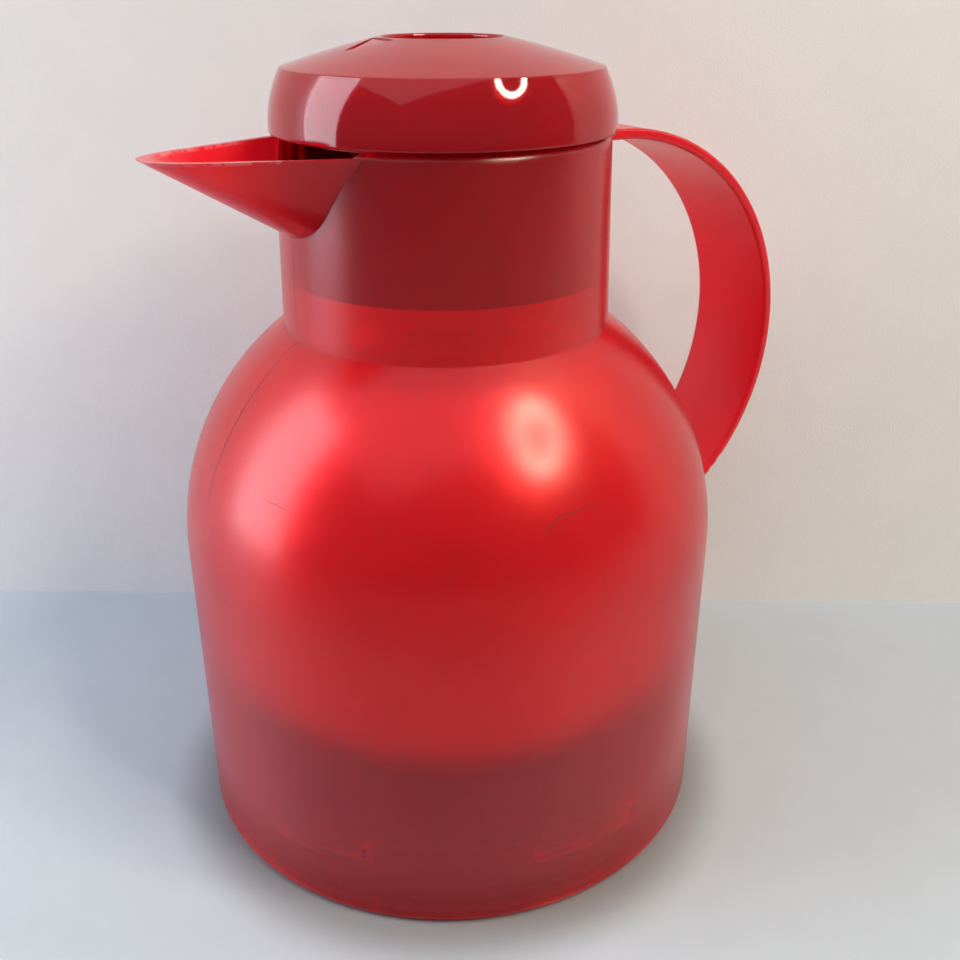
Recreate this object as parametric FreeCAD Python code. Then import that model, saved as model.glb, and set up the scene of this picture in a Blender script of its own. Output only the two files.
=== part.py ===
"""A vacuum jug for hot drinks: a translucent plastic casing with an open spout and a strap handle, a double-walled
glass flask inside it, a bayonet base that holds the flask up, and a push-button closure that screws into the neck.

Frame: millimetres, +Z up, origin on the jug's axis at the surface it stands on.
The spout points along -X and the handle along +X, so the outside is mirror-symmetric about the XZ plane.
"""

import FreeCAD, Part
import math
import os

Vector = FreeCAD.Vector
ORIGIN = Vector(0, 0, 0)
Z_AXIS = Vector(0, 0, 1)

# ---- Casing -------------------------------------------------------------------------------------------------------
BODY_R = 75.0            # outer radius of the cylinder and of the domed shoulder
WALL = 2.4
DOME_Z = 84.4            # centre of the shoulder's sphere, where the cylinder ends
NECK_R_LOW = 43.7        # neck where it leaves the shoulder
NECK_R_TOP = 42.6
NECK_TOP_Z = 193.6
NECK_BORE_R = 41.0
CASING_FOOT_Z = 1.2      # the casing hangs this far clear of the table; the base cap's foot ring carries the jug
CASING_LEDGE_Z = (16.2, 18.2)
CASING_LEDGE_DEG = 25
BASE_LUG_COUNT = 6

# ---- Spout and handle ---------------------------------------------------------------------------------------------
SPOUT_TIP_X = 77.8       # reach of the spout from the axis
SPOUT_TIP_Z = 192.2
SPOUT_KEEL_Z = 171.7     # underside of the spout where it leaves the neck
SPOUT_KEEL_R = 12.3      # the spout's section is a V with a round bottom: its radius at the tip
SPOUT_WIDENING = 0.13    # how fast that radius grows inwards
SPOUT_FLANK_DEG = 62
SPOUT_WALL = 1.7
HANDLE_CENTRE = (45.8, 128.8)
HANDLE_R = 63.6          # outer face of the strap
HANDLE_WIDTH = 30.6
HANDLE_THICK = 2.8

# ---- Flask --------------------------------------------------------------------------------------------------------
FLASK_R = 67.6           # outer glass
FLASK_CYLINDER_Z = 58.0  # where the flask's cylinder ends and its bottom starts to turn in
KNUCKLE_R = 24.0
KNUCKLE_DEG = 65
CROWN_R = 125.3
GLASS = 1.5
VACUUM_GAP = 4.0
FLASK_MOUTH_R = 23.8
FLASK_LIP_Z = 150.5      # centre of the rolled lip's half round

# ---- Pour collar --------------------------------------------------------------------------------------------------
COLLAR_R = 40.95
COLLAR_BORE_R = 39.3
COLLAR_LOW_Z = 157.0
COLLAR_TOP_Z = 191.8
FUNNEL_HOLE_R = 26.2
FUNNEL_SEAT_Z = 156.0    # underside of the funnel, on the mouth gasket

# ---- Closure ------------------------------------------------------------------------------------------------------
LID_R = 43.8
LID_LOW_Z = 194.0
LID_CREASE = (40.1, 209.0)
LID_TOP_Z = 215.8
LID_WALL = 2.0
RECESS_R = 14.95
LID_RIB_COUNT = 12
HEAD_Z = (194.8, 196.8)  # disc that closes the lid from below
HEAD_SKIRT_R = 37.2
PLUG_R = 23.8
PLUG_SEAT_Z = 155.0
PORT_COUNT = 6

# ---- Thread between closure and collar ----------------------------------------------------------------------------
THREAD_STARTS = 3
THREAD_LEAD = 72.0
THREAD_THICK = 1.8
LEDGE_LOW_Z = 181.0      # underside of each ledge at its lower end
LEDGE_DEG = 44
LUG_DEG = 34
LUG_GAP = 0.3            # air between a lug and the ledge over it

# ---- Button and valve ---------------------------------------------------------------------------------------------
BUTTON_R = 14.6
BUTTON_TOP_Z = 211.4
BUTTON_TRAVEL = 6.0
STEM_R = 3.0
STEM_BORE_R = 3.08
VALVE_R = 20.5
SPRING_R = 8.0
SPRING_WIRE = 0.9
SPRING_TURNS = 4.5

# ---- Base ---------------------------------------------------------------------------------------------------------
BASE_WALL_R = 69.9
FOOT_RING = (60.5, 64.0)
PLATFORM_Z = 16.0        # top of the raised middle, under the flask's cushion
FIXED_GAP = 0.05         # air drawn between pieces that touch


# ---- Helpers ------------------------------------------------------------------------------------------------------
def outline(start, *steps):
    """A closed face in the XZ plane from points (r, z). A step is an end point, or a pair (via, end) for an arc."""
    edges = []
    here = start
    for step in steps + (start,):
        if isinstance(step[0], tuple):
            via, end = step
            points = [Vector(r, 0, z) for r, z in (here, via, end)]
            edges.append(Part.Arc(*points).toShape())
        else:
            end = step
            if end == here:
                continue
            edges.append(Part.LineSegment(Vector(here[0], 0, here[1]), Vector(end[0], 0, end[1])).toShape())
        here = end
    return Part.Face(Part.Wire(edges))


def turned(start, *steps):
    """A full turn of an outline about the jug's axis."""
    return outline(start, *steps).revolve(ORIGIN, Z_AXIS, 360)


def ring(r_in, r_out, z_low, z_high):
    """A plain tube, or a disc when r_in is 0."""
    return turned((r_in, z_low), (r_out, z_low), (r_out, z_high), (r_in, z_high))


def sector(r_in, r_out, z_low, z_high, middle_deg, width_deg):
    """A stretch of a tube, width_deg wide and centred on middle_deg, counted from the spout."""
    face = outline((r_in, z_low), (r_out, z_low), (r_out, z_high), (r_in, z_high))
    solid = face.revolve(ORIGIN, Z_AXIS, width_deg)
    solid.rotate(ORIGIN, Z_AXIS, 180 + middle_deg - width_deg / 2)
    return solid


def helical_bar(r_in, r_out, z_low, middle_deg, width_deg):
    """A bar of the thread's slope, rising against the clock seen from above. z_low is the underside at its low end."""
    face = outline((r_in, z_low), (r_out, z_low), (r_out, z_low + THREAD_THICK), (r_in, z_low + THREAD_THICK))
    helix = Part.makeHelix(THREAD_LEAD, THREAD_LEAD * width_deg / 360, r_in)
    helix.translate(Vector(0, 0, z_low))
    solid = Part.Wire(helix.Edges).makePipeShell([face.OuterWire], True, True)
    solid.rotate(ORIGIN, Z_AXIS, 180 + middle_deg - width_deg / 2)
    return solid


def block(x, y, z):
    """A box from its three (low, high) pairs."""
    return Part.makeBox(x[1] - x[0], y[1] - y[0], z[1] - z[0], Vector(x[0], y[0], z[0]))


def around(shape, count, first_deg=0.0):
    """Copies of a shape evenly spaced about the axis."""
    copies = []
    for i in range(count):
        copy = shape.copy()
        copy.rotate(ORIGIN, Z_AXIS, first_deg + i * 360 / count)
        copies.append(copy)
    return copies


def sphere_z(radius, r):
    """The height at which a sphere about the shoulder's centre has the given radius from the axis."""
    return DOME_Z + math.sqrt(radius ** 2 - r ** 2)


def dome_arc(radius, end):
    """An arc step of the shoulder's sphere, from its equator up to the end point."""
    angle = math.atan2(end[1] - DOME_Z, end[0]) / 2
    return ((radius * math.cos(angle), DOME_Z + radius * math.sin(angle)), end)


def joined(first, *others):
    return first.fuse(list(others)).removeSplitter()


def round_circles(shape, radius, *circles):
    """Rounds the full-circle edges at each given (r, z)."""
    picked = []
    for edge in shape.Edges:
        if not isinstance(edge.Curve, Part.Circle):
            continue
        for r, z in circles:
            if abs(edge.Curve.Radius - r) < 0.01 and abs(edge.Curve.Center.z - z) < 0.01:
                picked.append(edge)
    return shape.makeFillet(radius, picked)


def write(name, shape):
    solids = shape.Solids
    shape = solids[0] if len(solids) == 1 else Part.makeCompound(solids)
    if not shape.isValid():
        raise ValueError(name + " is not a valid solid")
    shape.exportStep("parts/" + name + ".step")
    print(f"{name:15s} solids {len(solids)}  volume {shape.Volume / 1000:8.2f} cm3")


# ---- Casing -------------------------------------------------------------------------------------------------------
def body_outside():
    """The casing's outer form as one solid: cylinder, spherical shoulder and slightly tapered neck."""
    junction = (NECK_R_LOW, sphere_z(BODY_R, NECK_R_LOW))
    shape = turned(
        (0, CASING_FOOT_Z),
        (BODY_R, CASING_FOOT_Z),
        (BODY_R, DOME_Z),
        dome_arc(BODY_R, junction),
        (NECK_R_TOP, NECK_TOP_Z - 2.8),
        ((NECK_R_TOP - 0.385, NECK_TOP_Z - 1.22), (NECK_BORE_R + 0.15, NECK_TOP_Z)),
        (0, NECK_TOP_Z),
    )
    return round_circles(shape, 0.9, (BODY_R, CASING_FOOT_Z))


def casing_void():
    """Everything inside the casing's walls."""
    inner_r = BODY_R - WALL
    return turned(
        (0, 0),
        (inner_r, 0),
        (inner_r, DOME_Z),
        dome_arc(inner_r, (NECK_BORE_R, sphere_z(inner_r, NECK_BORE_R))),
        (NECK_BORE_R, NECK_TOP_Z + 1),
        (0, NECK_TOP_Z + 1),
    )


def spout_section(reach, shrink):
    """The spout's outline in an upright plane at that reach: a round keel, two straight flanks and a high flat top."""
    keel_slope = (SPOUT_TIP_Z - SPOUT_KEEL_Z) / (SPOUT_TIP_X - NECK_R_LOW)
    radius = SPOUT_KEEL_R + SPOUT_WIDENING * (SPOUT_TIP_X - reach)
    centre_z = SPOUT_KEEL_Z + keel_slope * (reach - NECK_R_LOW) + radius
    angle = math.radians(SPOUT_FLANK_DEG)
    keel_r = radius - shrink
    side = keel_r * math.sin(angle)
    low = centre_z - keel_r * math.cos(angle)
    rise = 50.0
    out = side + rise / math.tan(angle)
    corners = [(out, low + rise), (side, low), (-side, low), (-out, low + rise)]
    points = [Vector(-reach, y, z) for y, z in corners]
    keel = Part.Arc(points[1], Vector(-reach, 0, centre_z - keel_r), points[2]).toShape()
    flanks = [Part.LineSegment(points[i], points[i + 1]).toShape() for i in (0, 2)]
    top = Part.LineSegment(points[3], points[0]).toShape()
    return Part.Wire([flanks[0], keel, flanks[1], top])


def spout_channel(shrink):
    """The spout's form as a solid from well inside the neck to beyond its tip."""
    return Part.makeLoft([spout_section(22.0, shrink), spout_section(SPOUT_TIP_X + 4, shrink)], True, True)


def handle_strap():
    """A flat strap that leaves the neck's rim level and swings round in one arc into the body."""
    centre_x, centre_z = HANDLE_CENTRE
    inner_r = HANDLE_R - HANDLE_THICK

    def on_arc(radius, degrees):
        angle = math.radians(degrees)
        return (centre_x + radius * math.cos(angle), centre_z + radius * math.sin(angle))

    strap = outline(
        (NECK_BORE_R - 1, centre_z + HANDLE_R),
        on_arc(HANDLE_R, 90),
        (on_arc(HANDLE_R, 0), on_arc(HANDLE_R, -65)),
        on_arc(inner_r, -65),
        (on_arc(inner_r, 0), on_arc(inner_r, 90)),
        (NECK_BORE_R - 1, centre_z + inner_r),
    )
    strap.translate(Vector(0, -HANDLE_WIDTH / 2, 0))
    solid = strap.extrude(Vector(0, HANDLE_WIDTH, 0))
    long_edges = []
    for edge in solid.Edges:
        along_the_strap = edge.BoundBox.YLength < 0.01 and edge.Length > 2 * HANDLE_THICK
        if along_the_strap or isinstance(edge.Curve, Part.Circle):
            long_edges.append(edge)
    return solid.makeFillet(1.0, long_edges)


def make_casing():
    over_rim = block((-120, 0), (-70, 70), (SPOUT_TIP_Z, 280))
    outside = body_outside().fuse([spout_channel(0).cut(over_rim), handle_strap()])
    shell = outside.cut([casing_void(), spout_channel(SPOUT_WALL)])
    inner_r = BODY_R - WALL
    low, high = CASING_LEDGE_Z
    ledges = []
    for i in range(BASE_LUG_COUNT):
        middle = 30 + i * 360 / BASE_LUG_COUNT
        ledges.append(sector(inner_r - 2.2, inner_r + 0.4, low, high, middle, CASING_LEDGE_DEG))
        stop = middle + CASING_LEDGE_DEG / 2 - 0.8
        ledges.append(sector(inner_r - 2.2, inner_r + 0.4, low, high + 4.2, stop, 1.6))
    return joined(shell, *ledges)


# ---- Flask --------------------------------------------------------------------------------------------------------
def vessel(inset, neck_r):
    """A solid of the flask's form, set in from its outside by inset, with a neck up to the rolled lip."""
    radius = FLASK_R - inset
    knuckle_r = KNUCKLE_R - inset
    knuckle_x = FLASK_R - KNUCKLE_R
    crown_z = FLASK_CYLINDER_Z + (CROWN_R - KNUCKLE_R) * math.sin(math.radians(KNUCKLE_DEG))
    crown_r = CROWN_R - inset

    def on_knuckle(degrees):
        angle = math.radians(degrees)
        return (knuckle_x + knuckle_r * math.cos(angle), FLASK_CYLINDER_Z - knuckle_r * math.sin(angle))

    half_crown = math.radians(90 + KNUCKLE_DEG) / 2
    on_crown = (crown_r * math.cos(half_crown), crown_z - crown_r * math.sin(half_crown))
    return turned(
        (0, crown_z - crown_r),
        (on_crown, on_knuckle(KNUCKLE_DEG)),
        (on_knuckle(KNUCKLE_DEG / 2), (radius, FLASK_CYLINDER_Z)),
        (radius, DOME_Z),
        dome_arc(radius, (neck_r, sphere_z(radius, neck_r))),
        (neck_r, FLASK_LIP_Z),
        (0, FLASK_LIP_Z),
    )


def flask_bottom_z():
    return FLASK_CYLINDER_Z + (CROWN_R - KNUCKLE_R) * math.sin(math.radians(KNUCKLE_DEG)) - CROWN_R


def make_flask_outer():
    """The outer glass, with the drawn-off tip it was pumped out through."""
    neck_r = FLASK_MOUTH_R + 2 * GLASS + VACUUM_GAP
    low = flask_bottom_z()
    tip = turned((0, low + 1), (6, low + 0.7), ((2.6, low - 1.2), (1.1, low - 4.2)), (0, low - 4.6))
    return vessel(0, neck_r).fuse(tip).cut(vessel(GLASS, neck_r - GLASS)).removeSplitter()


def make_flask_inner():
    """The inner glass and the rolled lip that joins it to the outer one."""
    inset = GLASS + VACUUM_GAP
    inner_neck = FLASK_MOUTH_R + GLASS
    wall = vessel(inset, inner_neck).cut(vessel(inset + GLASS, FLASK_MOUTH_R))
    lip_r = GLASS + VACUUM_GAP / 2
    middle = FLASK_MOUTH_R + lip_r
    lip = turned(
        (middle + lip_r, FLASK_LIP_Z),
        ((middle, FLASK_LIP_Z + lip_r), (middle - lip_r, FLASK_LIP_Z)),
        (middle - lip_r + GLASS, FLASK_LIP_Z),
        ((middle, FLASK_LIP_Z + lip_r - GLASS), (middle + lip_r - GLASS, FLASK_LIP_Z)),
    )
    return joined(wall, lip)


def make_flask_spacers():
    """Three pads between the glasses that keep them apart."""
    outside = FLASK_R - GLASS
    low = FLASK_CYLINDER_Z + 3
    inside = outside - VACUUM_GAP + FIXED_GAP
    pads = [sector(inside, outside - FIXED_GAP, low, low + 8, 90 + i * 120, 7) for i in range(3)]
    return Part.makeCompound(pads)


def make_flask_cushion():
    """The rubber ring the flask stands on, hollow round the glass tip."""
    crown_z = flask_bottom_z() + CROWN_R

    def crown(r):
        return (r, crown_z - math.sqrt((CROWN_R + FIXED_GAP) ** 2 - r ** 2))

    return turned((12, PLATFORM_Z), (30, PLATFORM_Z), crown(30), (crown(21), crown(12)))


def make_mouth_gasket():
    """The sealing ring between the flask's rolled lip and the underside of the funnel."""
    lip_r = GLASS + VACUUM_GAP / 2
    middle = FLASK_MOUTH_R + lip_r
    skirt_r = middle + lip_r + 0.55

    def on_lip(degrees):
        angle = math.radians(degrees)
        radius = lip_r + FIXED_GAP
        return (middle + radius * math.cos(angle), FLASK_LIP_Z + radius * math.sin(angle))

    start = (on_lip(104)[0], FUNNEL_SEAT_Z)
    return turned(start, (skirt_r, FUNNEL_SEAT_Z), (skirt_r, FLASK_LIP_Z), on_lip(0), (on_lip(50), on_lip(104)))


# ---- Pour collar --------------------------------------------------------------------------------------------------
def make_pour_collar():
    """The sleeve in the neck: funnel floor round the flask's mouth, window to the spout, and the thread's ledges."""
    sleeve = turned(
        (FUNNEL_HOLE_R, FUNNEL_SEAT_Z),
        (FUNNEL_HOLE_R + 5.3, FUNNEL_SEAT_Z),
        (FUNNEL_HOLE_R + 5.3, 151.0),
        (FUNNEL_HOLE_R + 6.8, 151.0),
        (FUNNEL_HOLE_R + 6.8, FUNNEL_SEAT_Z + 0.4),
        (COLLAR_R, COLLAR_LOW_Z + 1.6),
        (COLLAR_R, COLLAR_TOP_Z),
        (COLLAR_BORE_R, COLLAR_TOP_Z),
        (COLLAR_BORE_R, COLLAR_LOW_Z + 4.0),
        (FUNNEL_HOLE_R, FUNNEL_SEAT_Z + 2.0),
    )
    ledges = []
    for i in range(THREAD_STARTS):
        middle = 60 + i * 360 / THREAD_STARTS
        ledges.append(helical_bar(HEAD_SKIRT_R + 0.4, COLLAR_BORE_R + 0.5, LEDGE_LOW_Z, middle, LEDGE_DEG))
    return joined(sleeve, *ledges).cut(spout_channel(SPOUT_WALL))


# ---- Base ---------------------------------------------------------------------------------------------------------
def make_base_cap():
    """The turned cap that closes the casing and carries the flask on its raised middle."""
    cap = turned(
        (0, PLATFORM_Z - 2),
        (32, PLATFORM_Z - 2),
        (32, 5),
        (FOOT_RING[0], 5),
        (FOOT_RING[0], 0),
        (FOOT_RING[1], 0),
        (FOOT_RING[1], 2.6),
        (72.2, 2.6),
        (72.2, 4.8),
        (BASE_WALL_R, 4.8),
        (BASE_WALL_R, 22.0),
        (BASE_WALL_R - 2, 22.0),
        (BASE_WALL_R - 2, 7),
        (34, 7),
        (34, PLATFORM_Z),
        (0, PLATFORM_Z),
    )
    cap = round_circles(cap, 0.8, (FOOT_RING[0], 0), (FOOT_RING[1], 0))
    lug_low = CASING_LEDGE_Z[1] + 0.05
    lugs = []
    for i in range(BASE_LUG_COUNT):
        middle = 30 + i * 360 / BASE_LUG_COUNT - 1.5
        lugs.append(sector(BASE_WALL_R - 0.5, 72.3, lug_low, lug_low + 2.4, middle, CASING_LEDGE_DEG - 6))
    grip = block((-32.5, 32.5), (-2, 2), (3.0, PLATFORM_Z - 1.5))
    return joined(cap, grip, *lugs)


def make_base_seal():
    """The rubber ring between the base cap and the casing's wall."""
    return ring(BASE_WALL_R + 0.05, BODY_R - WALL - 0.05, 4.9, 7.6)


# ---- Closure ------------------------------------------------------------------------------------------------------
def lid_solid(inset):
    """The lid's form as a solid, set in by inset."""
    crease = (LID_CREASE[0] - inset * 0.8, LID_CREASE[1] - inset * 0.75)
    top = LID_TOP_Z - inset
    return turned(
        (0, LID_LOW_Z),
        (LID_R - inset, LID_LOW_Z),
        ((42.9 - inset, 201.9), crease),
        ((27.5, 212.75 - inset), (RECESS_R, top)),
        (0, top),
    )


def make_lid_shell():
    """The domed lid: outer wall with ribs inside, a well for the button, and an arrow sunk in the top."""
    well_low = 203.4
    shell = lid_solid(0).cut(lid_solid(LID_WALL))
    shell = shell.cut(ring(0, RECESS_R, LID_LOW_Z, LID_TOP_Z + 1))
    shell = shell.fuse(ring(RECESS_R, RECESS_R + 1.6, well_low, LID_TOP_Z - 1)).removeSplitter()
    shell = round_circles(shell, 0.7, (RECESS_R, LID_TOP_Z))
    shell = round_circles(shell, 0.5, LID_CREASE, (LID_R, LID_LOW_Z))
    rib = block((40.35, LID_R - 1.2), (-1.5, 1.5), (194.9, 199.8))
    arrow = Part.Face(Part.makePolygon([
        Vector(-27.0, 0, 212.65),
        Vector(-16.2, -5.7, 215.2),
        Vector(-16.2, 5.7, 215.2),
        Vector(-27.0, 0, 212.65),
    ]))
    return joined(shell, *around(rib, LID_RIB_COUNT, 15)).cut(arrow.extrude(Vector(0, 0, 4)))


def make_stopper_head():
    """The disc under the lid: stem guide in the middle, rim up to the lid's wall, threaded skirt down into the neck."""
    low, high = HEAD_Z
    disc = turned(
        (STEM_BORE_R, 189.5),
        (5.4, 189.5),
        (5.4, low),
        (HEAD_SKIRT_R - 1.6, low),
        (HEAD_SKIRT_R - 1.6, 180.5),
        (HEAD_SKIRT_R, 180.5),
        (HEAD_SKIRT_R, low),
        (40.2, low),
        (40.2, 200.0),
        (38.6, 200.0),
        (38.6, high),
        (5.4, high),
        (5.4, 197.2),
        (4.6, 197.2),
        (4.6, 193.6),
        (STEM_BORE_R, 193.6),
    )
    lugs = []
    for i in range(THREAD_STARTS):
        middle = 60 + i * 360 / THREAD_STARTS
        rise = THREAD_LEAD / 360 * (LEDGE_DEG - LUG_DEG) / 2
        low_end = LEDGE_LOW_Z - LUG_GAP - THREAD_THICK + rise
        lugs.append(helical_bar(HEAD_SKIRT_R - 0.6, COLLAR_BORE_R - 0.35, low_end, middle, LUG_DEG))
    spout_gap = block((-50, -20), (-19, 19), (150, low - 2.2))
    return joined(disc, *lugs).cut(spout_gap)


def make_plug_body():
    """The tube that hangs from the head through the funnel: side ports above, valve seat and stem guide below."""
    tube = turned(
        (PLUG_R - 1.8, HEAD_Z[0] - 0.05),
        (PLUG_R + 4.5, HEAD_Z[0] - 0.05),
        (PLUG_R + 4.5, HEAD_Z[0] - 2.0),
        (PLUG_R, HEAD_Z[0] - 5.0),
        (PLUG_R, 159.8),
        (PLUG_R + 1.4, 159.8),
        (PLUG_R + 1.4, 158.6),
        (PLUG_R, 158.6),
        (PLUG_R, 156.2),
        (PLUG_R + 1.4, 156.2),
        (PLUG_R + 1.4, PLUG_SEAT_Z),
        (VALVE_R - 2.5, PLUG_SEAT_Z),
        (PLUG_R - 1.8, PLUG_SEAT_Z + 2.4),
    )
    port = sector(PLUG_R - 3, PLUG_R + 1, 161.0, 171.5, 0, 34)
    tube = tube.cut(around(port, PORT_COUNT))
    arm = block((4.4, PLUG_R - 1.4), (-0.9, 0.9), (157.8, 160.4))
    return joined(tube, ring(STEM_BORE_R, 5.0, 157.4, 161.4), *around(arm, 3, 30))


def make_plug_gasket():
    """The lip ring round the plug that seals it in the funnel's hole."""
    return turned(
        (PLUG_R + 0.08, 156.35),
        (PLUG_R + 1.7, 156.35),
        (FUNNEL_HOLE_R - 0.3, 156.9),
        (FUNNEL_HOLE_R - 0.3, 157.9),
        (PLUG_R + 1.7, 158.45),
        (PLUG_R + 0.08, 158.45),
    )


def make_stem_wiper():
    """The small rubber ring in the head that wipes the stem."""
    return ring(STEM_BORE_R, 4.55, 193.65, 196.9)


# ---- Button and valve ---------------------------------------------------------------------------------------------
def make_push_button():
    """The round button: a shallow dish on top, a skirt guided by the lid's well, a socket for the stem."""
    low = 203.6
    dish = BUTTON_TOP_Z - 1.0
    return turned(
        (0, dish),
        ((7.0, dish + 0.2), (12.6, BUTTON_TOP_Z)),
        (BUTTON_R - 0.8, BUTTON_TOP_Z),
        ((BUTTON_R - 0.25, BUTTON_TOP_Z - 0.25), (BUTTON_R, BUTTON_TOP_Z - 0.8)),
        (BUTTON_R, low),
        (BUTTON_R - 1.6, low),
        (BUTTON_R - 1.6, 208.6),
        (5.0, 208.6),
        (5.0, low + 0.4),
        (STEM_R + 0.02, low + 0.4),
        (STEM_R + 0.02, 208.6),
        (0, 208.6),
    )


def make_valve_stem():
    """The rod from the button down to the valve, with the collar that bears on the seal."""
    top = 208.55
    return turned(
        (0, 147.0),
        (2.0, 147.0),
        (2.0, PLUG_SEAT_Z),
        (5.0, PLUG_SEAT_Z),
        (5.0, PLUG_SEAT_Z + 1.0),
        (STEM_R, PLUG_SEAT_Z + 1.6),
        (STEM_R, top - 0.5),
        (STEM_R - 0.5, top),
        (0, top),
    )


def make_valve_seal():
    """The silicone washer pulled up against the plug's seat."""
    return ring(2.02, VALVE_R, PLUG_SEAT_Z - 2.0, PLUG_SEAT_Z - 0.02)


def make_valve_disc():
    """The plate that backs the seal."""
    top = PLUG_SEAT_Z - 2.05
    return turned((2.02, top - 2.6), (6.0, top - 2.6), (VALVE_R - 0.3, top - 1.0), (VALVE_R - 0.3, top), (2.02, top))


def make_valve_nut():
    """The six-sided nut under the plate."""
    top = PLUG_SEAT_Z - 4.7
    across_corners = 4.6
    corners = []
    for i in range(7):
        angle = math.radians(60 * i)
        corners.append(Vector(across_corners * math.cos(angle), across_corners * math.sin(angle), top - 2.8))
    body = Part.Face(Part.makePolygon(corners)).extrude(Vector(0, 0, 2.8))
    return body.cut(ring(0, 2.02, top - 4, top + 1))


def make_button_spring():
    """The coil spring between the stopper's head and the button."""
    low = HEAD_Z[1] + SPRING_WIRE / 2 + 0.02
    high = 208.6 - SPRING_WIRE / 2 - 0.02
    helix = Part.makeHelix((high - low) / SPRING_TURNS, high - low, SPRING_R)
    helix.translate(Vector(0, 0, low))
    wire_section = Part.Wire(Part.Circle(Vector(SPRING_R, 0, low), Vector(0, 1, 0), SPRING_WIRE / 2).toShape())
    return Part.Wire(helix.Edges).makePipeShell([wire_section], True, True)


MAKERS = {
    "casing": make_casing,
    "pour_collar": make_pour_collar,
    "flask_outer": make_flask_outer,
    "flask_inner": make_flask_inner,
    "flask_spacers": make_flask_spacers,
    "flask_cushion": make_flask_cushion,
    "mouth_gasket": make_mouth_gasket,
    "base_cap": make_base_cap,
    "base_seal": make_base_seal,
    "lid_shell": make_lid_shell,
    "stopper_head": make_stopper_head,
    "plug_body": make_plug_body,
    "plug_gasket": make_plug_gasket,
    "stem_wiper": make_stem_wiper,
    "push_button": make_push_button,
    "valve_stem": make_valve_stem,
    "valve_seal": make_valve_seal,
    "valve_disc": make_valve_disc,
    "valve_nut": make_valve_nut,
    "button_spring": make_button_spring,
}

os.makedirs("parts", exist_ok=True)
for node, make in MAKERS.items():
    write(node, make())
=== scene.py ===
"""The visual model of the vacuum jug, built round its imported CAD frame. Metres, +Z up, spout along -X."""

import math

import bpy
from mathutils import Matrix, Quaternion, Vector


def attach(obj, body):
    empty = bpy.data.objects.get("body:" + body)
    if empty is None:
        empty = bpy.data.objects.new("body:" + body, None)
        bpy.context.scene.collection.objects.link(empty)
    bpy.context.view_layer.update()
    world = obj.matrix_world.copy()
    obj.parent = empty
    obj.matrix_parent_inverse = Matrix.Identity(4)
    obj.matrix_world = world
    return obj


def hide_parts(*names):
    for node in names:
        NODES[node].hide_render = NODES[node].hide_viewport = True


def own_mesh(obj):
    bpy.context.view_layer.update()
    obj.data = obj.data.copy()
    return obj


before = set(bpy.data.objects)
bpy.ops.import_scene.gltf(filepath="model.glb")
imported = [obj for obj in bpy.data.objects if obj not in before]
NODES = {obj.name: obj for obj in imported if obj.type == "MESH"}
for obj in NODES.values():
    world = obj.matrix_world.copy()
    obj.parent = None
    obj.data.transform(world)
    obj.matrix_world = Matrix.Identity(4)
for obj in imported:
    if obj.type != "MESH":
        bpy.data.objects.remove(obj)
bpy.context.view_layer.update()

# ---- The viewing angle and the room --------------------------------------------------------------
CAMERA_AT = (-0.14158, -0.24520, 0.22878)
CAMERA_TOWARDS = (0.4775, 0.7686, -0.4256)
LENS_MM = 40.17
SENSOR_MM = 36
CLIP_START = 0.01
WALL_DISTANCE = 0.092               # from the jug's axis
WALL_HEADING = 56.7                 # degrees from +X to the way that the wall lies from the jug
WALL_HALF_WIDTH = 2.0
WALL_HEIGHT = 1.5
FLOOR_HALF_WIDTH = 3.0
# Painted shadow on the floor round the foot: where its middle lies and how far it reaches
SHADOW_AT = (-0.0025, -0.0035)      # middle of the soft shadow round the foot, a little towards the camera
SHADOW_EDGE = (0.072, 0.091)        # the shadow's radius, from where it is darkest to where it ends
# Painted shade: the floor is painted dimmer in front of the jug
DIM_FLOOR = (0.09, 0.26)            # how far in front of the jug the floor starts and ends turning dim

# ---- Lights --------------------------------------------------------------------------------------
WORLD_COLOUR = (0.95, 0.97, 1.0)
WORLD_STRENGTH = 0.19
CEILING = {
    "at": (-0.40, 0.10, 1.70),
    "towards": (0, 0, 0),
    "size": (3.2, 2.4),
    "watts": 18.5,
    "colour": (0.93, 0.92, 1.0),
}
WINDOW = {
    "at": (-0.865, 0.377, 0.42),
    "towards": (0, 0, 0.1),
    "size": (0.5, 1.0),
    "watts": 10,
    "colour": (0.88, 0.91, 1.0),
}
LAMP_AT = (0.453, -0.927, 1.20)
LAMP_RADIUS = 0.23
LAMP_TUBE_RADIUS = 0.05
LAMP_STRETCH = (0.88, 1.45, 1.0)
LAMP_TILT_DEG = -35                 # in the lamp's own plane, so that its reflection stands upright
LAMP_COLOUR = (1.0, 0.84, 0.64)
LAMP_GLOW = 38

# ---- Colours, scene linear -----------------------------------------------------------------------
CASING_RED = (0.96, 0.011, 0.030)
STRAP_RED = (0.97, 0.010, 0.028)
LID_RED = (0.60, 0.006, 0.017)
# Painted shade: dark red for the parts inside the neck and the lid, where little light reaches
SHADED_INNER_RED = (0.12, 0.003, 0.006)
# Painted light: bright red where light comes in by the spout
LIT_PORT_RED = (0.95, 0.012, 0.030)
CRACK_RED = (0.08, 0.002, 0.004)
# Paler pink for the top face of the spout's rim
RIM_PALE_PINK = (0.95, 0.42, 0.46)
RUBBER_BLACK = (0.02, 0.02, 0.02)
SILICONE = (0.70, 0.69, 0.64)
SILVER = (0.90, 0.90, 0.91)
WALL_GREY = (0.74, 0.76, 0.775)
FLOOR_GREY = (0.40, 0.465, 0.53)
# Painted shadow: the floor's colour where the jug's foot shades it
PAINTED_SHADOW_GREY = (0.20, 0.22, 0.235)
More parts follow.
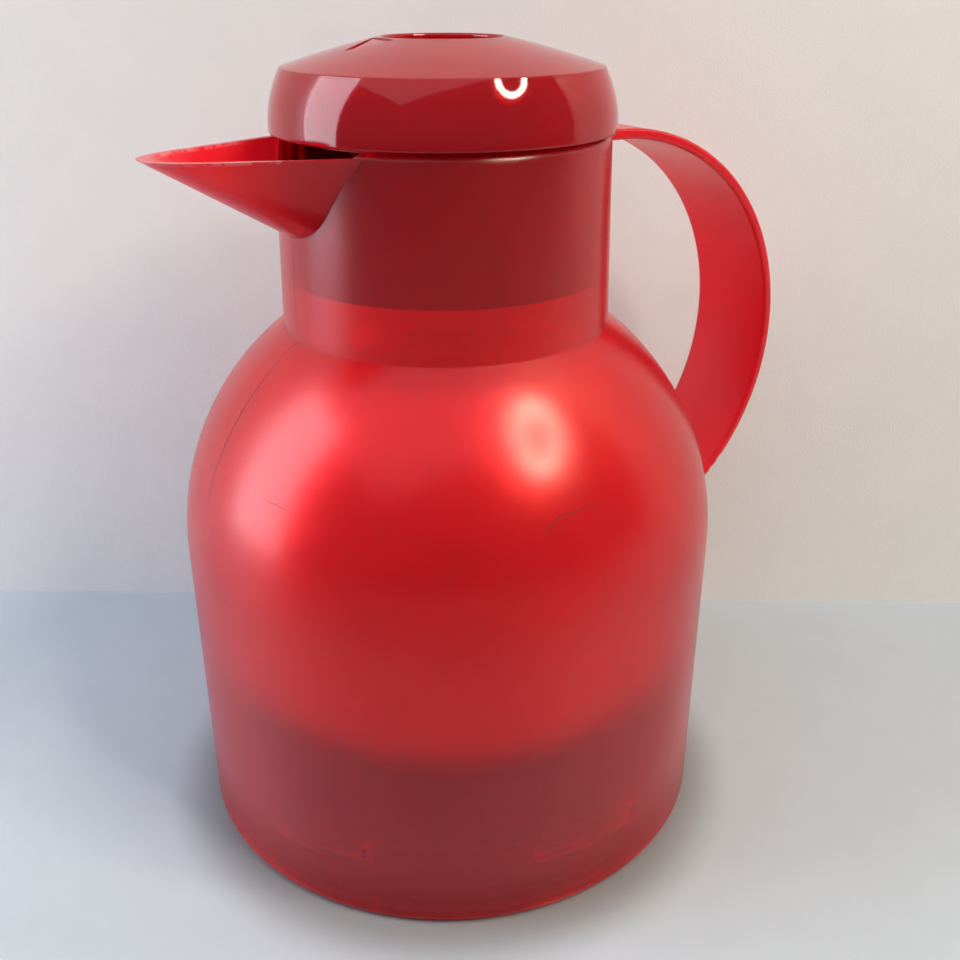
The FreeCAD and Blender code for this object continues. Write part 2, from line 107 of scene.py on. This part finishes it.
# Painted shade: the floor's colour in front of the jug
FLOOR_SHADE_GREY = (0.24, 0.24, 0.26)
VALVE_CREAM = (0.72, 0.72, 0.69)
FIBRE_BROWN = (0.45, 0.42, 0.36)
# Painted shade: the base cap is dark so that the casing's lower band shows shaded
BASE_SHADE_RED = (0.07, 0.004, 0.007)
GLASS_GREY = (0.86, 0.86, 0.88)
STEEL_DARK = (0.50, 0.50, 0.51)
STEEL_LIGHT = (0.70, 0.70, 0.70)

# ---- Finishes ------------------------------------------------------------------------------------
CLOUD = (0.3, 0.7)                  # the part of a noise's range that is spread over a finish
PLASTIC_IOR = 1.49
CASING_ROUGHNESS = (0.245, 0.265)   # this and the next stay clear of 0.27, where the render turns blotchy
FLASK_ROUGHNESS = (0.34, 0.38)
LID_ROUGHNESS = (0.05, 0.08)
INNER_ROUGHNESS = (0.30, 0.40)
STEEL_ROUGHNESS = (0.22, 0.34)
BODY_CLEARNESS = 0.86               # how much light the frosted body lets through
SINGLE_WALL_CLEARNESS = 0.66        # and the spout and the strap
LID_CLEARNESS = 0.60
SILVERING = 0.58                    # how far the flask mirrors like metal

# ---- Where finishes change on the parts, in metres -----------------------------------------------
NECK_RADIUS = 0.0426                # of the casing, at RIM_Z
NECK_TAPER = 0.0244                 # metres of radius gained for each metre down
RIM_Z = 0.1924
OUTSIDE_REACH = 0.15                # farther from the axis than the casing at any height
BODY_RADIUS = (0.0752, 0.0758)      # past this the casing is the strap
SHOULDER_SLOPE = 1.25               # of the line that parts the spout and the strap's root from the shoulder
SHOULDER_LINE_RADIUS = 0.044
SHOULDER_LINE_Z = (0.149, 0.152)
RIM_PALE_Z = (0.1913, 0.1919)
RIM_PALE_REACH = (0.046, 0.050)     # from the axis towards the spout's tip
# The next two mark where painted shade gives way to painted light on the collar and on the stopper's head
BORE_RADIUS = (0.04065, 0.04090)    # of the collar
HEAD_SKIRT_Z = (0.1920, 0.1935)     # the top of the stopper head's skirt

# ---- Fine marks on the casing: name, (heading in degrees, height) corners, width -----------------
HAIRLINE_LIFT = 0.00002
HAIRLINES = [
    ("seam_neck", [(180.1, 0.1700), (180.1, 0.1480)], 0.00030),
    ("seam_shoulder", [(180.1, 0.1455), (180.1, 0.1260), (180.1, 0.1020)], 0.00042),
    ("crack_left", [(199.8, 0.1156), (207.3, 0.1151)], 0.00022),
    ("crack_right", [(258.5, 0.1118), (259.3, 0.1138), (261.8, 0.1156), (274.0, 0.1162)], 0.00024),
]


# ---- Node helpers --------------------------------------------------------------------------------
class Shader:
    """A material's node tree with short calls for the nodes that this scene uses."""

    def __init__(self, name):
        self.material = bpy.data.materials.new(name)
        self.material.use_nodes = True
        self.tree = self.material.node_tree
        self.bsdf = self.tree.nodes["Principled BSDF"]
        self.place = self.tree.nodes.new("ShaderNodeTexCoord").outputs["Object"]

    def node(self, kind, **settings):
        made = self.tree.nodes.new(kind)
        for key, value in settings.items():
            setattr(made, key, value)
        return made

    def link(self, source, target):
        self.tree.links.new(source, target)

    def put(self, target, value):
        if isinstance(value, bpy.types.NodeSocket):
            self.link(value, target)
        else:
            target.default_value = value

    def constants(self, **values):
        for key, value in values.items():
            self.bsdf.inputs[key.replace("_", " ")].default_value = value

    def noise(self, scale, detail=2.0, stretch=(1, 1, 1)):
        mapping = self.node("ShaderNodeMapping")
        mapping.inputs["Scale"].default_value = stretch
        self.link(self.place, mapping.inputs["Vector"])
        made = self.node("ShaderNodeTexNoise")
        made.inputs["Scale"].default_value = scale
        made.inputs["Detail"].default_value = detail
        self.link(mapping.outputs["Vector"], made.inputs["Vector"])
        return made.outputs["Fac"]

    def math(self, operation, a, b=0.0):
        made = self.node("ShaderNodeMath", operation=operation)
        self.put(made.inputs[0], a)
        self.put(made.inputs[1], b)
        return made.outputs[0]

    def ramp(self, value, low, high, out_low=0.0, out_high=1.0):
        """value mapped smoothly from low..high to out_low..out_high."""
        made = self.node("ShaderNodeMapRange", interpolation_type="SMOOTHSTEP")
        self.put(made.inputs["Value"], value)
        made.inputs["From Min"].default_value = low
        made.inputs["From Max"].default_value = high
        made.inputs["To Min"].default_value = out_low
        made.inputs["To Max"].default_value = out_high
        return made.outputs["Result"]

    def mix(self, factor, a, b):
        """Colour a where the factor is 0, and b where it is 1. The node's colours are in 6, in 7 and out 2."""
        made = self.node("ShaderNodeMix", data_type="RGBA")
        self.put(made.inputs["Factor"], factor)
        for socket, value in ((made.inputs[6], a), (made.inputs[7], b)):
            self.put(socket, (*value, 1.0) if isinstance(value, tuple) else value)
        return made.outputs[2]

    def axes(self):
        """x, y and z of the point being shaded."""
        parts = self.node("ShaderNodeSeparateXYZ")
        self.link(self.place, parts.inputs[0])
        return parts.outputs

    def radius(self, x, y):
        """How far the point x, y is from 0, 0."""
        squares = self.math("ADD", self.math("MULTIPLY", x, x), self.math("MULTIPLY", y, y))
        return self.math("SQRT", squares)

    def colour(self, value):
        self.put(self.bsdf.inputs["Base Color"], value)

    def roughness(self, value):
        self.put(self.bsdf.inputs["Roughness"], value)

    def bump(self, height, strength, distance):
        made = self.node("ShaderNodeBump")
        made.inputs["Strength"].default_value = strength
        made.inputs["Distance"].default_value = distance
        self.link(height, made.inputs["Height"])
        self.link(made.outputs["Normal"], self.bsdf.inputs["Normal"])


def shade(colour, factor):
    """The colour made darker, or lighter above 1."""
    return tuple(c * factor for c in colour)


def moulded(name, colour, roughness, grain=0.04, specks=0.06):
    """Plain moulded plastic or rubber: a faint cloudiness in the colour and a fine grain."""
    s = Shader(name)
    cloud = s.noise(60, 3)
    dark = shade(colour, 1 - 2 * specks)
    s.colour(s.mix(s.ramp(cloud, *CLOUD), dark, colour))
    s.roughness(s.ramp(cloud, *CLOUD, roughness * 0.88, roughness * 1.12))
    s.bump(s.noise(1800, 2), grain, 0.0004)
    return s.material


# ---- Materials -----------------------------------------------------------------------------------
def single_wall_mask(s, radius, z):
    """1 on the spout and the strap, 0 on the body and the neck."""
    neck_radius = s.math("ADD", NECK_RADIUS, s.math("MULTIPLY", s.math("SUBTRACT", RIM_Z, z), NECK_TAPER))
    beyond_neck = s.ramp(s.math("SUBTRACT", radius, neck_radius), 0.0, 0.0003)
    outward = s.math("SUBTRACT", radius, SHOULDER_LINE_RADIUS)
    above_shoulder = s.ramp(s.math("ADD", z, s.math("MULTIPLY", outward, SHOULDER_SLOPE)), *SHOULDER_LINE_Z)
    return s.math("MAXIMUM", s.math("MULTIPLY", beyond_neck, above_shoulder), s.ramp(radius, *BODY_RADIUS))


def casing_material():
    """Frosted see-through plastic. The spout and the strap have no flask behind them and hold more colour."""
    s = Shader("casing_frosted")
    x, y, z = s.axes()
    cloud = s.noise(45, 3)
    radius = s.radius(x, y)
    single_wall = single_wall_mask(s, radius, z)
    body = s.mix(s.ramp(cloud, *CLOUD), CASING_RED, shade(CASING_RED, 1.04))
    # Paler pink in patches on the top face of the spout's rim
    along_spout = s.ramp(s.math("MULTIPLY", x, -1.0), *RIM_PALE_REACH)
    on_rim = s.math("MULTIPLY", s.ramp(z, *RIM_PALE_Z), along_spout)
    pale_rim_patches = s.math("MULTIPLY", on_rim, s.ramp(s.noise(420, 3), 0.42, 0.60, 0.0, 0.8))
    s.colour(s.mix(pale_rim_patches, s.mix(single_wall, body, STRAP_RED), RIM_PALE_PINK))
    s.roughness(s.ramp(cloud, *CLOUD, *CASING_ROUGHNESS))
    clearness = s.ramp(single_wall, 0, 1, BODY_CLEARNESS, SINGLE_WALL_CLEARNESS)
    s.put(s.bsdf.inputs["Transmission Weight"], clearness)
    s.constants(IOR=PLASTIC_IOR, Specular_IOR_Level=0.28)
    s.bump(s.noise(2500, 2), 0.05, 0.0003)
    return s.material


def lit_and_shaded_red(s, shaded_where):
    """Painted light and shade: bright red where light comes in, and dark red for shade where the mask is 1."""
    s.colour(s.mix(shaded_where, LIT_PORT_RED, SHADED_INNER_RED))
    s.roughness(s.ramp(s.noise(60, 3), *CLOUD, *INNER_ROUGHNESS))
    return s.material


def collar_material():
    """Painted shade on the outside, and painted light in its bore and its pouring port, where light comes in
    by the spout.
    """
    s = Shader("collar_lit_and_shaded")
    x, y, _ = s.axes()
    return lit_and_shaded_red(s, s.ramp(s.radius(x, y), *BORE_RADIUS))


def head_material():
    """Painted shade inside the lid, and painted light below it, where light comes in by the spout."""
    s = Shader("head_lit_and_shaded")
    _, _, z = s.axes()
    return lit_and_shaded_red(s, s.ramp(z, *HEAD_SKIRT_Z))


def lid_material():
    """Glossy see-through plastic, so the stopper's head and the ribs show faintly in its lower band."""
    s = Shader("lid_gloss")
    cloud = s.noise(50, 3)
    s.colour(s.mix(s.ramp(cloud, *CLOUD), shade(LID_RED, 0.94), LID_RED))
    s.roughness(s.ramp(cloud, *CLOUD, *LID_ROUGHNESS))
    s.constants(Transmission_Weight=LID_CLEARNESS, IOR=PLASTIC_IOR)
    return s.material


def silvered_glass():
    """Silvering seen through the glass, a little uneven."""
    s = Shader("silvered_glass")
    cloud = s.noise(25, 4)
    s.colour(s.mix(s.ramp(cloud, *CLOUD), GLASS_GREY, SILVER))
    s.roughness(s.ramp(cloud, *CLOUD, *FLASK_ROUGHNESS))
    s.constants(Metallic=SILVERING)
    return s.material


def steel():
    """Drawn wire, with its grain stretched along Z."""
    s = Shader("spring_steel")
    grain = s.noise(900, 2, (1, 1, 0.1))
    s.colour(s.mix(grain, STEEL_DARK, STEEL_LIGHT))
    s.roughness(s.ramp(grain, *CLOUD, *STEEL_ROUGHNESS))
    s.constants(Metallic=1.0)
    return s.material


def dress_nodes():
    """Gives every CAD node its finish, but the spring, which add_spring() replaces."""
    silicone = moulded("silicone", SILICONE, 0.45)
    rubber = moulded("black_rubber", RUBBER_BLACK, 0.6, grain=0.1)
    valve_plastic = moulded("valve_plastic", VALVE_CREAM, 0.35)
    finish = {
        "casing": casing_material(),
        "pour_collar": collar_material(),
        "flask_outer": silvered_glass(),
        "flask_inner": silvered_glass(),
        "flask_spacers": moulded("pressed_fibre", FIBRE_BROWN, 0.9),
        "flask_cushion": rubber,
        "mouth_gasket": silicone,
        "base_cap": moulded("base_cap_shade", BASE_SHADE_RED, 0.35),
        "base_seal": rubber,
        "lid_shell": lid_material(),
        "stopper_head": head_material(),
        # Painted shade: the plug's body is dark red, as little light reaches it inside the lid
        "plug_body": moulded("plug_shade_red", SHADED_INNER_RED, 0.35),
        "plug_gasket": silicone,
        "stem_wiper": silicone,
        "push_button": moulded("button_red", LID_RED, 0.18),
        "valve_stem": valve_plastic,
        "valve_seal": silicone,
        "valve_disc": valve_plastic,
        "valve_nut": valve_plastic,
    }
    for name, material in finish.items():
        NODES[name].data.materials.clear()
        NODES[name].data.materials.append(material)


def add_spring():
    """The button's spring, a steel copy of the CAD spring, stands on the stopper's head."""
    coil = bpy.data.objects.new("button_spring_coil", NODES["button_spring"].data.copy())
    bpy.context.scene.collection.objects.link(coil)
    coil.data.materials.clear()
    coil.data.materials.append(steel())
    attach(coil, "closure")
    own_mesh(coil)
    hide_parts("button_spring")


# ---- Fine marks ----------------------------------------------------------------------------------
def on_casing(heading, z):
    """The point of the casing's outside at this heading in degrees and this height, and the way it faces."""
    inward = Vector((-math.cos(math.radians(heading)), -math.sin(math.radians(heading)), 0))
    found, point, normal, _ = NODES["casing"].ray_cast(Vector((0, 0, z)) - inward * OUTSIDE_REACH, inward)
    if not found:
        raise ValueError("no casing at heading %s, height %s" % (heading, z))
    return point, normal


def hairline(name, corners, width, steps=12):
    """A thin dark line lying on the casing through these (heading, height) corners, tapering at both ends."""
    path = []
    for (heading, z), (heading_2, z_2) in zip(corners, corners[1:]):
        for step in range(steps):
            share = step / steps
            path.append((heading + (heading_2 - heading) * share, z + (z_2 - z) * share))
    path.append(corners[-1])
    placed = [on_casing(*where) for where in path]
    points = [point + normal * HAIRLINE_LIFT for point, normal in placed]
    vertices = []
    for i, (point, (_, normal)) in enumerate(zip(points, placed)):
        along = points[min(i + 1, len(points) - 1)] - points[max(i - 1, 0)]
        taper = 0.35 + 0.65 * math.sin(math.pi * i / (len(points) - 1))
        half = along.cross(normal).normalized() * (width / 2 * taper)
        vertices += [point - half, point + half]
    faces = [(2 * i, 2 * i + 1, 2 * i + 3, 2 * i + 2) for i in range(len(points) - 1)]
    mesh = bpy.data.meshes.new(name)
    mesh.from_pydata(vertices, [], faces)
    line = bpy.data.objects.new(name, mesh)
    bpy.context.scene.collection.objects.link(line)
    return line


def add_hairlines():
    """The moulding's seam below the spout, and two fine stress cracks on the shoulder."""
    material = moulded("hairline", CRACK_RED, 0.5)
    for name, corners, width in HAIRLINES:
        line = hairline(name, corners, width)
        line.data.materials.append(material)
        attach(line, "jug")


# ---- Stage ---------------------------------------------------------------------------------------
def plane(name, corners, material):
    """One four-cornered face of the stage."""
    mesh = bpy.data.meshes.new(name)
    mesh.from_pydata(corners, [], [(0, 1, 2, 3)])
    made = bpy.data.objects.new(name, mesh)
    bpy.context.scene.collection.objects.link(made)
    mesh.materials.append(material)


def see_through_from_behind(material):
    """The wall shows only from the room's side, so the jug can be looked at from behind."""
    tree = material.node_tree
    side = tree.nodes.new("ShaderNodeNewGeometry")
    clear = tree.nodes.new("ShaderNodeBsdfTransparent")
    mix = tree.nodes.new("ShaderNodeMixShader")
    tree.links.new(side.outputs["Backfacing"], mix.inputs[0])
    tree.links.new(tree.nodes["Principled BSDF"].outputs[0], mix.inputs[1])
    tree.links.new(clear.outputs[0], mix.inputs[2])
    tree.links.new(mix.outputs[0], tree.nodes["Material Output"].inputs["Surface"])


def floor_material(away):
    """Pale, with a painted soft shadow round the foot, and painted shade that dims it in front of the jug,
    which the casing mirrors.
    """
    s = Shader("floor")
    x, y, _ = s.axes()
    ahead = s.math("ADD", s.math("MULTIPLY", x, -away.x), s.math("MULTIPLY", y, -away.y))
    pale = s.mix(s.ramp(s.noise(60, 3), *CLOUD), shade(FLOOR_GREY, 0.98), FLOOR_GREY)
    from_shadow = s.radius(s.math("SUBTRACT", x, SHADOW_AT[0]), s.math("SUBTRACT", y, SHADOW_AT[1]))
    shaded = s.mix(s.ramp(from_shadow, *SHADOW_EDGE), PAINTED_SHADOW_GREY, pale)
    s.colour(s.mix(s.ramp(ahead, *DIM_FLOOR), shaded, FLOOR_SHADE_GREY))
    s.constants(Roughness=0.5)
    return s.material


def add_stage():
    """A pale floor, and a pale wall close behind the jug."""
    heading = math.radians(WALL_HEADING)
    away = Vector((math.cos(heading), math.sin(heading), 0))
    half = FLOOR_HALF_WIDTH
    floor_corners = [(-half, -half, 0), (half, -half, 0), (half, half, 0), (-half, half, 0)]
    plane("floor", floor_corners, floor_material(away))
    along = Vector((-away.y, away.x, 0)) * WALL_HALF_WIDTH
    foot = away * WALL_DISTANCE
    up = Vector((0, 0, WALL_HEIGHT))
    wall = moulded("wall", WALL_GREY, 0.8, grain=0.3, specks=0.01)
    see_through_from_behind(wall)
    plane("wall", [foot + along, foot - along, foot - along + up, foot + along + up], wall)


def add_camera():
    """The camera that sees the jug as the photograph does."""
    data = bpy.data.cameras.new("camera")
    data.lens = LENS_MM
    data.sensor_width = SENSOR_MM
    data.clip_start = CLIP_START
    camera = bpy.data.objects.new("camera", data)
    camera.location = CAMERA_AT
    camera.rotation_euler = Vector(CAMERA_TOWARDS).to_track_quat("-Z", "Y").to_euler()
    bpy.context.scene.collection.objects.link(camera)
    bpy.context.scene.camera = camera


def area_light(name, at, towards, size, watts, colour):
    """A soft rectangular light in one place, turned towards another."""
    data = bpy.data.lights.new(name, "AREA")
    data.shape = "RECTANGLE"
    data.size, data.size_y = size
    data.energy = watts
    data.color = colour
    light = bpy.data.objects.new(name, data)
    light.location = at
    light.rotation_euler = (Vector(towards) - Vector(at)).to_track_quat("-Z", "Y").to_euler()
    bpy.context.scene.collection.objects.link(light)


def ring_lamp():
    """An oval ring lamp in front and above, which the glossy lid mirrors as a ring."""
    glow = bpy.data.materials.new("lamp_glow")
    glow.use_nodes = True
    bsdf = glow.node_tree.nodes["Principled BSDF"]
    bsdf.inputs["Emission Color"].default_value = (*LAMP_COLOUR, 1)
    bsdf.inputs["Emission Strength"].default_value = LAMP_GLOW
    bpy.ops.mesh.primitive_torus_add(
        major_radius=LAMP_RADIUS, minor_radius=LAMP_TUBE_RADIUS, major_segments=32, minor_segments=8
    )
    ring = bpy.context.object
    ring.name = "ring_lamp"
    ring.location = LAMP_AT
    ring.scale = LAMP_STRETCH
    towards_jug = (-ring.location).to_track_quat("-Z", "Y")
    ring.rotation_euler = (towards_jug @ Quaternion((0, 0, 1), math.radians(LAMP_TILT_DEG))).to_euler()
    ring.data.materials.append(glow)


def add_lights():
    """A dim world, a soft ceiling, a soft window at the left and the lamp."""
    world = bpy.data.worlds.new("world")
    world.use_nodes = True
    background = world.node_tree.nodes["Background"]
    background.inputs["Color"].default_value = (*WORLD_COLOUR, 1)
    background.inputs["Strength"].default_value = WORLD_STRENGTH
    bpy.context.scene.world = world
    area_light("ceiling", **CEILING)
    area_light("window", **WINDOW)
    ring_lamp()
    view = bpy.context.scene.view_settings
    view.view_transform = "Standard"
    view.look = "None"


def main():
    """Dresses the frame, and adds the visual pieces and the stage."""
    dress_nodes()
    add_spring()
    add_hairlines()
    add_camera()
    add_stage()
    add_lights()


main()
